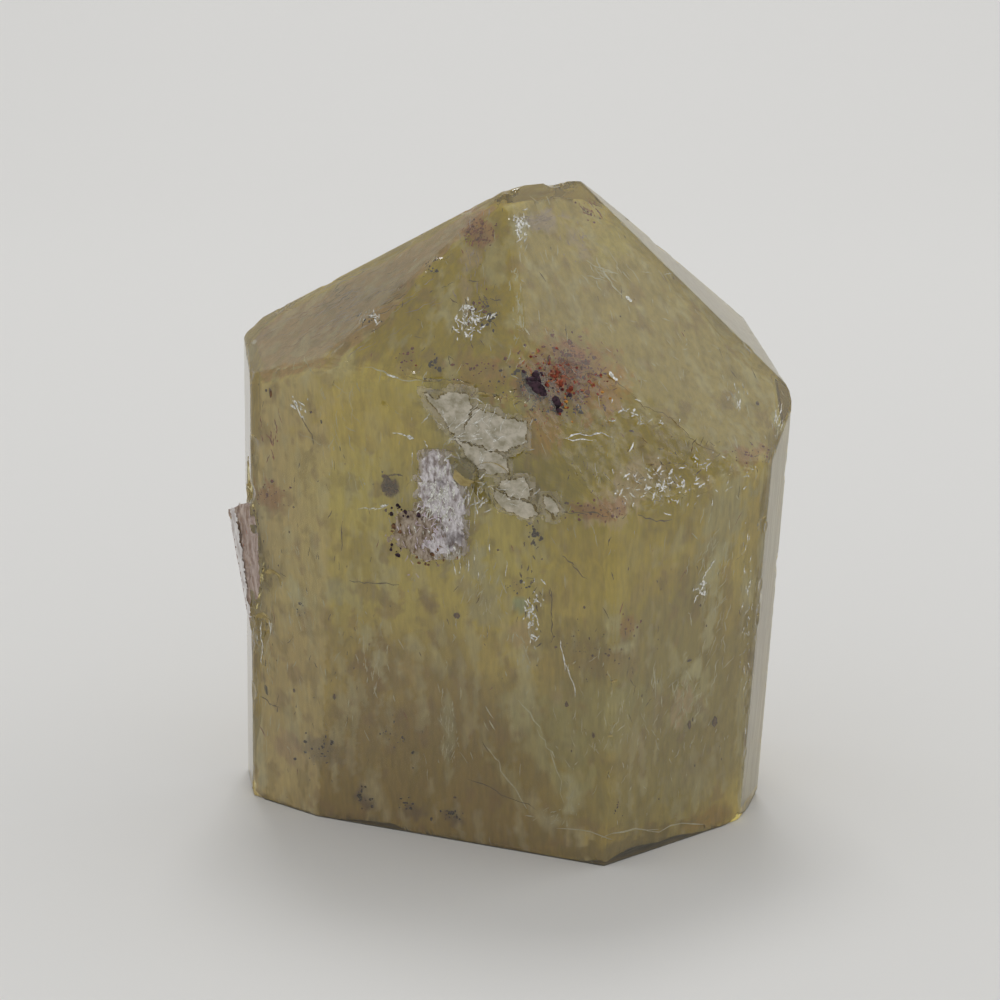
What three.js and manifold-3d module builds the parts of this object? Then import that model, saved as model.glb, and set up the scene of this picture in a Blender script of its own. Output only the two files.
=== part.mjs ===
// A fluorapatite crystal: one yellow-green six-sided point, sawn flat below, its faces ground and polished.
// It is a single solid. The front shoulder is chipped, and a splinter of old growth stands out on the left.
// Millimetres, +Z up. The origin is the middle of the sawn base, and the front looks along -Y.

import * as THREE from "three";
import { ConvexGeometry } from "three/addons/geometries/ConvexGeometry.js";
import { mergeVertices } from "three/addons/utils/BufferGeometryUtils.js";
import Module from "manifold-3d";

// Driving dimensions. A flat is set by the way it looks and by how far it lies from the grinding centre,
// a point of the sawn base near its middle. Azimuth turns from the front towards +X. Rise is upwards.
// Both are in degrees.
const roughBlockSize = 60;
const edgeWear = 0.05;

const sides = {
  leftSide: { azimuth: -79, rise: 1, distance: 14.1 },
  leftFrontCorner: { azimuth: -36, rise: -3.5, distance: 9 },
  frontLeft: { azimuth: -22, rise: -5, distance: 7.2 },
  frontRight: { azimuth: 38.5, rise: -4, distance: 11.05 },
  rightFrontCorner: { azimuth: 68, rise: -3.5, distance: 13.2 },
  rightBack: { azimuth: 103.5, rise: -1.3, distance: 13.5 },
  back: { azimuth: 168, rise: 4, distance: 10.6 },
  leftBack: { azimuth: -151, rise: 5, distance: 9.8 },
};

const slopes = {
  leftSlope: { azimuth: -58, rise: 51, distance: 27.3 },
  frontLeftSlope: { azimuth: -15.5, rise: 38, distance: 22.95 },
  frontRightSlope: { azimuth: 37, rise: 37, distance: 22.15 },
  rightSlope: { azimuth: 82, rise: 46.5, distance: 27.25 },
  rightBackSlope: { azimuth: 125, rise: 51, distance: 28.95 },
  backSlope: { azimuth: 168, rise: 50, distance: 26.9 },
  leftBackSlope: { azimuth: -141.5, rise: 57, distance: 27.5 },
};

const sawnBase = { azimuth: 180, rise: -90, distance: 0 };
const flats = { ...sides, ...slopes, sawnBase };

// Flats left by knocks: the broken front shoulder, the worn heel below it, and the blunted corners.
// Each looks its own way and lies this deep below the corner where three flats would meet.
const chips = [
  { at: ["frontLeft", "frontRight", "frontRightSlope"], azimuth: 32.5, rise: 32.5, depth: 0.61 },
  { at: ["frontLeft", "frontRight", "sawnBase"], azimuth: 36.5, rise: -13, depth: 0.3 },
  { at: ["leftSide", "leftFrontCorner", "sawnBase"], azimuth: -60, rise: -36, depth: 0.3 },
  { at: ["rightFrontCorner", "rightBack", "sawnBase"], azimuth: 80, rise: -40, depth: 0.3 },
  { at: ["frontRight", "rightFrontCorner", "sawnBase"], azimuth: 55, rise: -38, depth: 0.25 },
  { at: ["frontRightSlope", "rightSlope", "leftBackSlope"], azimuth: 60, rise: 78, depth: 0.1 },
  { at: ["leftSlope", "leftSide", "leftBackSlope"], azimuth: -95, rise: 30, depth: 0.25 },
  { at: ["leftSlope", "frontLeftSlope", "leftBackSlope"], azimuth: -40, rise: 76, depth: 0.3 },
  { at: ["rightBack", "back", "backSlope"], azimuth: 150, rise: 24, depth: 0.6 },
];

const ridges = [
  ["leftSide", "leftFrontCorner"],
  ["frontLeft", "frontRight"],
  ["frontRight", "rightFrontCorner"],
  ["rightFrontCorner", "rightBack"],
  ["rightBack", "back"],
  ["back", "leftBack"],
  ["leftBack", "leftSide"],
  ["leftSlope", "frontLeftSlope"],
  ["frontLeftSlope", "frontRightSlope"],
  ["frontRightSlope", "rightSlope"],
  ["rightSlope", "rightBackSlope"],
  ["rightBackSlope", "backSlope"],
  ["backSlope", "leftBackSlope"],
  ["leftBackSlope", "leftSlope"],
  ["leftSlope", "leftSide"],
  ["leftSlope", "leftFrontCorner"],
  ["frontLeftSlope", "frontLeft"],
  ["frontRightSlope", "rightFrontCorner"],
  ["rightSlope", "rightBack"],
  ["backSlope", "back"],
  ["leftBackSlope", "leftBack"],
];

// Flakes lost from the front-left side below its shoulder, as outlines on that side's own flat:
// the first number runs to the right along it, the second up it. Each leaves a shallow step.
const flakes = [
  {
    depth: 0.3,
    outline: [
      [-0.7, 26],
      [-0.3, 25.1],
      [0.8, 23.7],
      [1.9, 21.6],
      [3.5, 22.4],
      [4.5, 23],
      [4.7, 24.3],
      [2.2, 24.4],
      [1.9, 26.2],
    ],
  },
  {
    depth: 0.16,
    outline: [
      [1.8, 21.7],
      [3.6, 21.6],
      [4.9, 21.4],
      [4.9, 20.3],
      [5.4, 19.7],
      [4.6, 19.4],
      [3.4, 19.7],
    ],
  },
];

// The splinter stands out of the left side and tapers away downwards. Its front is a rough break.
const splinter = {
  topHeight: 16.85,
  footHeight: 9.3,
  standsOut: 1.15,
  length: 3.9,
  rootDepth: 1.3,
};

const wasm = await Module();
wasm.setup();

// Closed three.js geometry to a solid for joining and cutting, and back again.
function solidFrom(geometry) {
  const bare = new THREE.BufferGeometry();
  bare.setAttribute("position", geometry.getAttribute("position"));
  bare.setIndex(geometry.getIndex());
  const merged = mergeVertices(bare);
  return new wasm.Manifold(
    new wasm.Mesh({
      numProp: 3,
      vertProperties: new Float32Array(merged.getAttribute("position").array),
      triVerts: new Uint32Array(merged.getIndex().array),
    }),
  );
}

function geometryFrom(solid) {
  const { vertProperties, triVerts } = solid.getMesh();
  const geometry = new THREE.BufferGeometry();
  geometry.setAttribute("position", new THREE.BufferAttribute(vertProperties, 3));
  geometry.setIndex(new THREE.BufferAttribute(triVerts, 1));
  return geometry;
}

// The direction that a flat looks in.
function outward({ azimuth, rise }) {
  const turn = THREE.MathUtils.degToRad(azimuth);
  const lift = THREE.MathUtils.degToRad(rise);
  return new THREE.Vector3(Math.sin(turn) * Math.cos(lift), -Math.cos(turn) * Math.cos(lift), Math.sin(lift));
}

// A flat's own axes: X level along it, Y up it and Z out of it, from its point nearest the grinding centre.
function axesOn(direction, distance) {
  const up = new THREE.Vector3(0, 0, 1);
  const along = Math.abs(direction.z) > 0.999 ? new THREE.Vector3(1, 0, 0) : up.cross(direction).normalize();
  const upFlat = direction.clone().cross(along);
  const foot = direction.clone().multiplyScalar(distance);
  return new THREE.Matrix4().makeBasis(along, upFlat, direction).setPosition(foot);
}

// Takes away all that lies outside a flat.
function grind(solid, direction, distance) {
  const waste = new THREE.BoxGeometry(2 * roughBlockSize, 2 * roughBlockSize, roughBlockSize);
  waste.translate(0, 0, roughBlockSize / 2);
  waste.applyMatrix4(axesOn(direction, distance));
  return solid.subtract(solidFrom(waste));
}

function grindFlat(solid, flat) {
  return grind(solid, outward(flat), flat.distance);
}

// A narrow flat halfway between two neighbours, set in from their shared edge by the wear.
function wearRidge(solid, [nameOfOne, nameOfOther]) {
  const one = flats[nameOfOne];
  const other = flats[nameOfOther];
  const sum = outward(one).add(outward(other));
  const edgeDistance = (one.distance + other.distance) / sum.length();
  return grind(solid, sum.normalize(), edgeDistance - edgeWear);
}

// The point that three flats share.
function cornerOf(names) {
  const [a, b, c] = names.map((name) => outward(flats[name]));
  const [toA, toB, toC] = names.map((name) => flats[name].distance);
  const corner = new THREE.Vector3().crossVectors(b, c).multiplyScalar(toA);
  corner.addScaledVector(new THREE.Vector3().crossVectors(c, a), toB);
  corner.addScaledVector(new THREE.Vector3().crossVectors(a, b), toC);
  return corner.divideScalar(a.dot(new THREE.Vector3().crossVectors(b, c)));
}

function knockCorner(solid, chip) {
  const direction = outward(chip);
  return grind(solid, direction, direction.dot(cornerOf(chip.at)) - chip.depth);
}

// Cuts one flake's outline into the front-left side.
function loseFlake(solid, { depth, outline }) {
  const { frontLeft } = sides;
  const clearance = 1.5;
  const shape = new THREE.Shape(outline.map(([along, up]) => new THREE.Vector2(along, up)));
  const cut = new THREE.ExtrudeGeometry(shape, { depth: depth + clearance, bevelEnabled: false });
  cut.translate(0, 0, -depth);
  cut.applyMatrix4(axesOn(outward(frontLeft), frontLeft.distance));
  return solid.subtract(solidFrom(cut));
}

// The splinter's corners, on the left side's own axes: along to the front, up, and out of the side.
function splinterSolid() {
  const { topHeight, footHeight, standsOut, length, rootDepth } = splinter;
  const breakHeight = topHeight - 3;
  const onLeftSide = axesOn(outward(sides.leftSide), sides.leftSide.distance);
  const corners = [
    [-1.1, topHeight - 0.2, standsOut],
    [-0.5, topHeight + 0.2, 0.7 * standsOut],
    [0.1, topHeight + 0.4, 0],
    [0.3, topHeight + 0.2, -rootDepth],
    [0.4, breakHeight, -0.48],
    [0.3, breakHeight, -rootDepth],
    [-1.2, breakHeight + 0.4, 0.66 * standsOut],
    [-0.95, footHeight, 0],
    [-0.95, footHeight, -rootDepth],
    [-length, topHeight - 1, 0.5 * standsOut],
    [-length, topHeight - 0.4, -rootDepth],
    [-0.75 * length, footHeight + 2.2, 0],
    [-0.75 * length, footHeight + 2.2, -rootDepth],
  ];
  const points = corners.map((corner) => new THREE.Vector3(...corner).applyMatrix4(onLeftSide));
  return solidFrom(new ConvexGeometry(points));
}

const roughBlock = new THREE.BoxGeometry(roughBlockSize, roughBlockSize, roughBlockSize);
roughBlock.translate(0, 0, roughBlockSize / 2);
let stone = solidFrom(roughBlock);
stone = Object.values(flats).reduce(grindFlat, stone);
stone = ridges.reduce(wearRidge, stone);
stone = chips.reduce(knockCorner, stone);
stone = flakes.reduce(loseFlake, stone);
stone = stone.add(splinterSolid());

// The origin moves to the middle of the stone's footprint, and its base stays on the level.
const crystalGeometry = geometryFrom(stone);
crystalGeometry.computeBoundingBox();
const middle = crystalGeometry.boundingBox.getCenter(new THREE.Vector3());
crystalGeometry.translate(-middle.x, -middle.y, 0);

const crystal = new THREE.Mesh(
  crystalGeometry,
  new THREE.MeshStandardMaterial({ color: 0x9a8f4e, roughness: 0.15, metalness: 0 }),
);
crystal.name = "crystal";

const specimen = new THREE.Group();
specimen.add(crystal);

export default specimen;
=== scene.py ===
import math
import random

import bmesh
import bpy
import numpy as np
from mathutils import Matrix, Vector, noise
from mathutils.bvhtree import BVHTree
from mathutils.kdtree import KDTree


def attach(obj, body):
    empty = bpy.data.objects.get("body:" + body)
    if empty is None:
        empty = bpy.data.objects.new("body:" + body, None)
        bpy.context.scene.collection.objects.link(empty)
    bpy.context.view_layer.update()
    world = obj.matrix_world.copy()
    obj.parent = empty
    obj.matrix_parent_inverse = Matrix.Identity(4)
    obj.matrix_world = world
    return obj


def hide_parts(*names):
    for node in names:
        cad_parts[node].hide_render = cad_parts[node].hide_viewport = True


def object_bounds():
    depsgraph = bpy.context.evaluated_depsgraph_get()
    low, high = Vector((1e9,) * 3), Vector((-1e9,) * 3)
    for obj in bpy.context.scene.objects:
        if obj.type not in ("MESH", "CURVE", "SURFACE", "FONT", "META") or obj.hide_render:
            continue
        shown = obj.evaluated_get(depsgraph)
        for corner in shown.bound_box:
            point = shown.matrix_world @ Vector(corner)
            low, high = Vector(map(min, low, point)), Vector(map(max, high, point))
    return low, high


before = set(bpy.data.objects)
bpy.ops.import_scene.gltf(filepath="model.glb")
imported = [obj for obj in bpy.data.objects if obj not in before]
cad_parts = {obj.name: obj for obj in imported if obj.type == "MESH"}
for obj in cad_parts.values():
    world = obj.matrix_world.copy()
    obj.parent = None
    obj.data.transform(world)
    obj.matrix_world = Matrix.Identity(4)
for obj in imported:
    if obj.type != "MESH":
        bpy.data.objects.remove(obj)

cad_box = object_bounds()
MM = 0.001

# The camera.
# It stands a hand's length in front of the stone and a little above it, and looks slightly down.
# Whatever sits at a place seen in the photo is put there along a ray from this camera.
photo_side = 1000
focal_px = 2027.0
look_down = math.radians(15.4)
camera_at = Vector((-0.38, -105.43, 46.08)) * MM
camera_ahead = Vector((0, math.cos(look_down), -math.sin(look_down)))
camera_up = Vector((0, math.sin(look_down), math.cos(look_down)))
camera_right = Vector((1, 0, 0))

camera_data = bpy.data.cameras.new("camera")
camera_data.sensor_width = 36.0
camera_data.lens = 36.0 * focal_px / photo_side
camera_data.clip_start = 0.005
camera_data.clip_end = 5.0
camera = bpy.data.objects.new("camera", camera_data)
camera.location = camera_at
camera.rotation_euler = (math.radians(90) - look_down, 0.0, 0.0)
bpy.context.scene.collection.objects.link(camera)
bpy.context.scene.camera = camera

# The stone.
# One natural crystal of yellow-green fluorapatite, cloudy and translucent, sawn flat below and polished
# by hand. Its edges are worn and nicked, and the front shoulder and the left splinter are broken rough.
refraction_index = 1.63
broken_step = 0.15 * MM
edge_step = 0.17 * MM
plain_step = 0.5 * MM
worn_edge_reach = 0.4 * MM
nicks_per_mm = 0.75
waviness = 0.008 * MM
wave_length = 4.5 * MM


def direction_of(azimuth, rise):
    turn = math.radians(azimuth)
    lift = math.radians(rise)
    return Vector((math.sin(turn) * math.cos(lift), -math.cos(turn) * math.cos(lift), math.sin(lift)))


def linked(name, mesh):
    piece = bpy.data.objects.new(name, mesh)
    bpy.context.scene.collection.objects.link(piece)
    return piece


def split_long_edges(bm, length_allowed):
    """Halves every edge longer than its own limit until none is left, and keeps all faces triangles."""
    for _ in range(10):
        long_edges = [e for e in bm.edges if e.calc_length() > length_allowed(e)]
        if not long_edges:
            return
        bmesh.ops.subdivide_edges(bm, edges=long_edges, cuts=1, use_grid_fill=False)
        bmesh.ops.triangulate(bm, faces=bm.faces[:], quad_method="BEAUTY", ngon_method="BEAUTY")


cad_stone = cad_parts["crystal"]
bm = bmesh.new()
bm.from_mesh(cad_stone.data)
bmesh.ops.remove_doubles(bm, verts=bm.verts[:], dist=0.0004 * MM)
bmesh.ops.dissolve_limit(bm, angle_limit=math.radians(0.4), verts=bm.verts[:], edges=bm.edges[:])

# The worn lines where two flats meet, each with the way that it points out of the stone.
worn_lines = []
for edge in bm.edges:
    if len(edge.link_faces) == 2 and edge.calc_face_angle() > math.radians(6):
        one, other = edge.link_faces
        out = (one.normal + other.normal).normalized()
        is_ridge = edge.is_convex and min(v.co.z for v in edge.verts) > 0.1 * MM
        worn_lines.append((edge.verts[0].co.copy(), edge.verts[1].co.copy(), out, is_ridge))
# The flats themselves. The floor of a lost flake looks the same way as its flat but lies lower, so it is none.
# The small faces of the splinter are none either.
flat_planes = []
for face in sorted(bm.faces, key=lambda face: -face.normal.dot(face.verts[0].co)):
    is_floor = any(face.normal.dot(normal) > 0.9999 for normal, reach in flat_planes)
    middle = face.calc_center_median() / MM
    on_splinter = middle.x < -13.2 and 8.5 < middle.z < 17.8 and face.calc_area() < 30 * MM * MM
    if face.calc_area() > 4 * MM * MM and not is_floor and not on_splinter:
        flat_planes.append((face.normal.copy(), face.normal.dot(face.verts[0].co)))
plane_normals = np.array([normal[:] for normal, reach in flat_planes])
plane_reaches = np.array([reach for normal, reach in flat_planes])
bmesh.ops.triangulate(bm, faces=bm.faces[:])
flat_stone = BVHTree.FromBMesh(bm)

line_points = []
for start, end, out, is_ridge in worn_lines:
    stretches = max(1, int((end - start).length / (0.25 * MM)))
    line_points += [start.lerp(end, i / stretches) for i in range(stretches + 1)]
line_tree = KDTree(len(line_points))
for i, point in enumerate(line_points):
    line_tree.insert(point, i)
line_tree.balance()

# Where the surface is broken and not polished: the front shoulder, the scar left of it, the splinter.
shoulder_break_faces = direction_of(32.5, 32.5)
scar_faces = direction_of(-22, -5)
scar_plane = 6.85 * MM


def is_broken(point, normal):
    if normal.dot(shoulder_break_faces) > 0.995:
        return True
    recess = scar_plane - point.dot(scar_faces)
    in_scar = 19 * MM < point.z < 27.5 * MM and -5 * MM < point.x < 5 * MM
    if in_scar and 0.05 * MM < recess < 0.4 * MM and normal.y < -0.3:
        return True
    return point.x < -13.6 * MM and 9 * MM < point.z < 17.3 * MM and abs(normal.x) < 0.97


def step_at(edge):
    middle = (edge.verts[0].co + edge.verts[1].co) / 2
    if middle.z < 0.02 * MM:
        return 3 * plain_step
    if any(is_broken(middle, face.normal) for face in edge.link_faces):
        return broken_step
    if line_tree.find(middle)[2] < worn_edge_reach and middle.z > 0.2 * MM:
        return edge_step
    return plain_step


split_long_edges(bm, step_at)
bm.normal_update()
rest_points = np.array([v.co[:] for v in bm.verts])
rest_normals = np.array([v.normal[:] for v in bm.verts])
broken_share = np.array([float(any(is_broken(v.co, f.normal) for f in v.link_faces)) for v in bm.verts])
points = rest_points.copy()
on_base = rest_points[:, 2] < 0.01 * MM
for i, (point, normal) in enumerate(zip(rest_points, rest_normals)):
    if not on_base[i]:
        swell = noise.noise(Vector(point) / wave_length)
        points[i] += normal * swell * waviness

# White plates fill the scar up level with its flat, so its points come out again.
depths = plane_reaches - rest_points @ plane_normals.T
recesses = depths.min(axis=1)
in_scar = (broken_share > 0.5) & (recesses > 0.004 * MM) & (recesses < 0.45 * MM)
in_scar &= (points[:, 0] < 4 * MM) & (points[:, 0] > -5 * MM) & (points[:, 2] > 18 * MM)
points[in_scar] += plane_normals[depths[in_scar].argmin(axis=1)] * recesses[in_scar][:, None]

point_tree = KDTree(len(rest_points))
for i, point in enumerate(rest_points):
    point_tree.insert(point, i)
point_tree.balance()


def scoop(centre, radius):
    """Takes a round bite out of the stone: points inside the ball move out to its skin."""
    near = [i for _, i, _ in point_tree.find_range(centre, radius) if not on_base[i] and not in_scar[i]]
    if not near:
        return
    away = points[near] - np.array(centre)
    reach = np.linalg.norm(away, axis=1)
    inside = (reach < radius) & (reach > 0.05 * radius)
    picked = np.array(near)[inside]
    points[picked] = np.array(centre) + away[inside] / reach[inside][:, None] * radius


chance = random.Random(11)
for start, end, out, is_ridge in worn_lines:
    if not is_ridge:
        continue
    length = (end - start).length
    for _ in range(int(length / MM * nicks_per_mm + chance.random())):
        radius = chance.uniform(0.25, 1.3) * MM
        depth = min(0.3 * radius, chance.expovariate(1 / 0.045) * MM)
        place = start.lerp(end, chance.random())
        scoop(place + out * (radius - depth), radius)

# Shell-shaped bites over the broken shoulder and the scar.
broken_points = np.nonzero(broken_share > 0.5)[0]
for _ in range(900):
    i = int(broken_points[chance.randrange(len(broken_points))])
    if in_scar[i]:
        continue
    radius = min(2.2, 0.3 + chance.expovariate(1 / 0.35)) * MM
    depth = chance.uniform(0.03, 0.05) * MM + 0.04 * radius
    lean = Vector([chance.uniform(-0.4, 0.4) for _ in range(3)])
    out = (Vector(rest_normals[i]) + lean).normalized()
    scoop(Vector(rest_points[i]) + out * (radius - depth), radius)
for i in broken_points:
    if on_base[i]:
        continue
    if in_scar[i]:
        continue
    x, y, z = rest_points[i] / MM
    grain = noise.noise(Vector((2.2 * x, 2.2 * y, 1.1 * z))) + 0.5 * noise.noise(Vector((6 * x, 6 * y, 3 * z)))
    points[i] += rest_normals[i] * grain * 0.03 * MM

for vertex, point in zip(bm.verts, points):
    vertex.co = point
bm.normal_update()
broken_layer = bm.verts.layers.float.new("broken")
for vertex, share in zip(bm.verts, broken_share):
    vertex[broken_layer] = share
for face in bm.faces:
    face.smooth = True
for edge in bm.edges:
    if len(edge.link_faces) == 2:
        breaks = edge.verts[0][broken_layer] + edge.verts[1][broken_layer] > 1.5
        edge.smooth = edge.calc_face_angle() < math.radians(14 if breaks else 32)
print("stone triangles", len(bm.faces))
stone_mesh = bpy.data.meshes.new("stone")
bm.to_mesh(stone_mesh)
bm.free()
stone = linked("stone", stone_mesh)

# Greener towards the upper right, browner towards the lower left, as iron has crept in from the base.
stone_finish = bpy.data.materials.new("apatite")
stone_finish.use_nodes = True
nodes = stone_finish.node_tree.nodes
links = stone_finish.node_tree.links
shader = nodes["Principled BSDF"]
shader.inputs["IOR"].default_value = refraction_index
shader.inputs["Transmission Weight"].default_value = 0.93
place = nodes.new("ShaderNodeTexCoord")
zones = nodes.new("ShaderNodeTexNoise")
zones.inputs["Scale"].default_value = 1 / (5 * MM)
zones.inputs["Detail"].default_value = 0
zones.inputs["Roughness"].default_value = 0.62
links.new(place.outputs["Object"], zones.inputs["Vector"])
across = nodes.new("ShaderNodeVectorMath")
across.operation = "DOT_PRODUCT"
across.inputs[1].default_value = (12, 0, 20)
links.new(place.outputs["Object"], across.inputs[0])
zone_sum = nodes.new("ShaderNodeMath")
zone_sum.operation = "ADD"
links.new(across.outputs["Value"], zone_sum.inputs[0])
links.new(zones.outputs["Fac"], zone_sum.inputs[1])
zone_colours = nodes.new("ShaderNodeValToRGB")
zone_colours.color_ramp.elements[0].position = 0.42
zone_colours.color_ramp.elements[0].color = (0.93, 0.84, 0.62, 1)
zone_colours.color_ramp.elements[1].position = 0.95
zone_colours.color_ramp.elements[1].color = (0.95, 0.90, 0.66, 1)
links.new(zone_sum.outputs["Value"], zone_colours.inputs["Fac"])
links.new(zone_colours.outputs["Color"], shader.inputs["Base Color"])
dullness = nodes.new("ShaderNodeAttribute")
dullness.attribute_name = "broken"
smears = nodes.new("ShaderNodeTexNoise")
smears.inputs["Scale"].default_value = 1 / (1.6 * MM)
smears.inputs["Detail"].default_value = 1
links.new(place.outputs["Object"], smears.inputs["Vector"])
polish = nodes.new("ShaderNodeMapRange")
polish.inputs["From Min"].default_value = 0.35
polish.inputs["From Max"].default_value = 0.75
polish.inputs["To Min"].default_value = 0.005
polish.inputs["To Max"].default_value = 0.07
links.new(smears.outputs["Fac"], polish.inputs["Value"])
rough_mix = nodes.new("ShaderNodeMath")
rough_mix.operation = "MULTIPLY_ADD"
rough_mix.inputs[1].default_value = 0.05
links.new(dullness.outputs["Fac"], rough_mix.inputs[0])
links.new(polish.outputs["Result"], rough_mix.inputs[2])
links.new(rough_mix.outputs["Value"], shader.inputs["Roughness"])
scratches = nodes.new("ShaderNodeTexNoise")
scratches.inputs["Scale"].default_value = 1 / (0.5 * MM)
scratches.inputs["Detail"].default_value = 1
scratches.inputs["Roughness"].default_value = 0.75
links.new(place.outputs["Object"], scratches.inputs["Vector"])
relief = nodes.new("ShaderNodeBump")
relief.inputs["Strength"].default_value = 0.06
relief.inputs["Distance"].default_value = 0.012 * MM
links.new(scratches.outputs["Fac"], relief.inputs["Height"])
links.new(relief.outputs["Normal"], shader.inputs["Normal"])
absorption = nodes.new("ShaderNodeVolumeAbsorption")
absorption.inputs["Color"].default_value = (0.72, 0.66, 0.05, 1)
absorption.inputs["Density"].default_value = 230.0
links.new(absorption.outputs["Volume"], nodes["Material Output"].inputs["Volume"])
stone_mesh.materials.clear()
stone_mesh.materials.append(stone_finish)
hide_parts("crystal")
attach(stone, "root")

# The cloudy heart.
# Milky growth layers and healed cracks fill the crystal from a little below its skin, and give it its colour.
# They follow the flats as one crumpled veil in smooth olive, with milky, brown and rusty places in it.
veil_size = 0.945
veil_below = 0.6
veil_step = 0.27 * MM
veil_crumple = 0.5 * MM
base_cover = 0.08 * MM
foot_height = 5 * MM
foot_size = 0.995
stone_heart = Vector((0, 0.3, 6)) * MM


def kept_inside(spots, margin):
    """Moves any spot that pokes out of a flat, or comes too near it, back below that flat."""
    kept = np.array(spots, dtype=float)
    margins = np.multiply.outer(np.broadcast_to(margin, len(kept)), np.ones(len(plane_reaches)))
    margins[:, plane_normals[:, 2] < -0.9] = np.minimum(margins[:, plane_normals[:, 2] < -0.9], base_cover)
    for _ in range(3):
        over = kept @ plane_normals.T - (plane_reaches - margins)
        worst = np.argmax(over, axis=1)
        amount = np.maximum(over[np.arange(len(kept)), worst], 0)
        kept -= plane_normals[worst] * amount[:, None]
    return kept


def inner_piece(name, bm, finish, smooth=False, below_skin=True):
    """Turns a finished bmesh into a piece that rides inside the stone."""
    mesh = bpy.data.meshes.new(name)
    if below_skin:
        for vertex, spot in zip(bm.verts, kept_inside([v.co[:] for v in bm.verts], 0.03 * MM)):
            vertex.co = spot
    for vertex in bm.verts:
        vertex.co.z = max(vertex.co.z, 0.02 * MM)
    for face in bm.faces:
        face.smooth = smooth
    bm.to_mesh(mesh)
    bm.free()
    mesh.materials.append(finish)
    piece = linked(name, mesh)
    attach(piece, "root")
    return piece


def seen_at(x, y, deep):
    """The spot that shows at this place in the photo, this deep along the bent line of sight."""
    sight = camera_ahead * focal_px + camera_right * (x - photo_side / 2) + camera_up * (photo_side / 2 - y)
    sight.normalize()
    hit, normal, _, _ = flat_stone.ray_cast(camera_at, sight)
    if hit is None:
        return None, None
    ratio = 1 / refraction_index
    facing = -normal.dot(sight)
    bent = sight * ratio + normal * (ratio * facing - math.sqrt(1 - ratio * ratio * (1 - facing * facing)))
    depths = plane_reaches - plane_normals @ np.array(hit)
    flat = int(depths.argmin())
    if depths[flat] < -0.05 * MM:
        # The splinter stands out of the flats, so nothing in it is moved.
        return hit + (normal * -deep if deep < 0 else bent * deep), normal
    if deep < 0:
        return hit + Vector(plane_normals[flat]) * (max(depths[flat], 0) - deep), normal
    return Vector(kept_inside([hit + bent * deep], 0.04 * MM)[0]), normal


def rising(value, low, high):
    """0 below the low value, 1 above the high one, and a smooth rise between them."""
    part = np.clip((value - low) / (high - low), 0, 1)
    return part * part * (3 - 2 * part)


def swirls(places, size, stretch, seed, detail=2):
    """A noise at each place, as coarse as this size in mm and drawn out upright by the stretch."""
    keys = places / (size, size, size * stretch) + (seed, -seed, 2 * seed)
    return np.array([sum(noise.noise(Vector(key) * 2 ** i) / 2 ** i for i in range(detail)) for key in keys])


def laid_over(under, colour, share):
    return under + (np.array(colour) - under) * np.asarray(share)[:, None]


colour_zones = [
    # Where its middle is in mm, how far it reaches in mm, its colour, and how much of it shows there.
    {"name": "green_slope", "middle": (-3, -6, 26), "reach": 9, "colour": (0.66, 0.52, 0.01), "share": 0.85},
    {"name": "pale_slope", "middle": (9, -4, 27), "reach": 8, "colour": (0.68, 0.57, 0.20), "share": 0.8},
    {"name": "left_corner", "middle": (-12, -6, 20), "reach": 8, "colour": (0.98, 0.84, 0.48), "share": 0.8},
    {"name": "front_upper", "middle": (-4, -8, 18), "reach": 9, "colour": (1.0, 0.90, 0.27), "share": 0.85},
    {"name": "broken_shoulder", "middle": (6, -9, 22), "reach": 6, "colour": (0.66, 0.54, 0.03), "share": 1.0},
    {"name": "brown_foot", "middle": (-5, -8, 2), "reach": 10, "colour": (0.50, 0.365, 0.125), "share": 0.9},
    {"name": "green_foot", "middle": (9, -8, 8), "reach": 8, "colour": (0.56, 0.48, 0.185), "share": 0.85},
]

# Each flat shows the veil from its own side, so the tone changes sharply where two flats meet.
# Most tints are the veil's own colour; the paler, greyer tint of the front right slope is painted sheen, the bright
# light that slope mirrors.
flat_tints_and_sheen = [
    {"name": "left_slope", "looks": direction_of(-58, 51), "colour": (0.74, 0.49, 0.34), "share": 0.75},
    {"name": "front_left_slope", "looks": direction_of(-15.5, 38), "colour": (0.62, 0.49, 0.0), "share": 0.75},
    # Painted sheen: this slope is tinted paler and greyer for the bright light that it mirrors.
    {"name": "front_right_slope", "looks": direction_of(37, 37), "colour": (0.78, 0.68, 0.34), "share": 0.6},
    {"name": "broken_shoulder", "looks": direction_of(32.5, 32.5), "colour": (0.62, 0.49, 0.0), "share": 0.88},
    {"name": "left_corner", "looks": direction_of(-36, -3.5), "colour": (1.0, 0.88, 0.58), "share": 0.6},
]

milky = (0.95, 0.93, 0.78)
olive = (0.62, 0.50, 0.04)
yellow = (0.98, 0.84, 0.20)
brown = (0.44, 0.30, 0.12)
dusky = (0.24, 0.15, 0.13)
pinkish = (0.88, 0.72, 0.62)
grey = (0.74, 0.72, 0.58)
greenish = (0.66, 0.63, 0.33)
amber = (0.62, 0.42, 0.12)
rusty = (0.56, 0.22, 0.06)
orange = (0.78, 0.44, 0.06)
lilac = (0.78, 0.68, 0.78)

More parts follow.
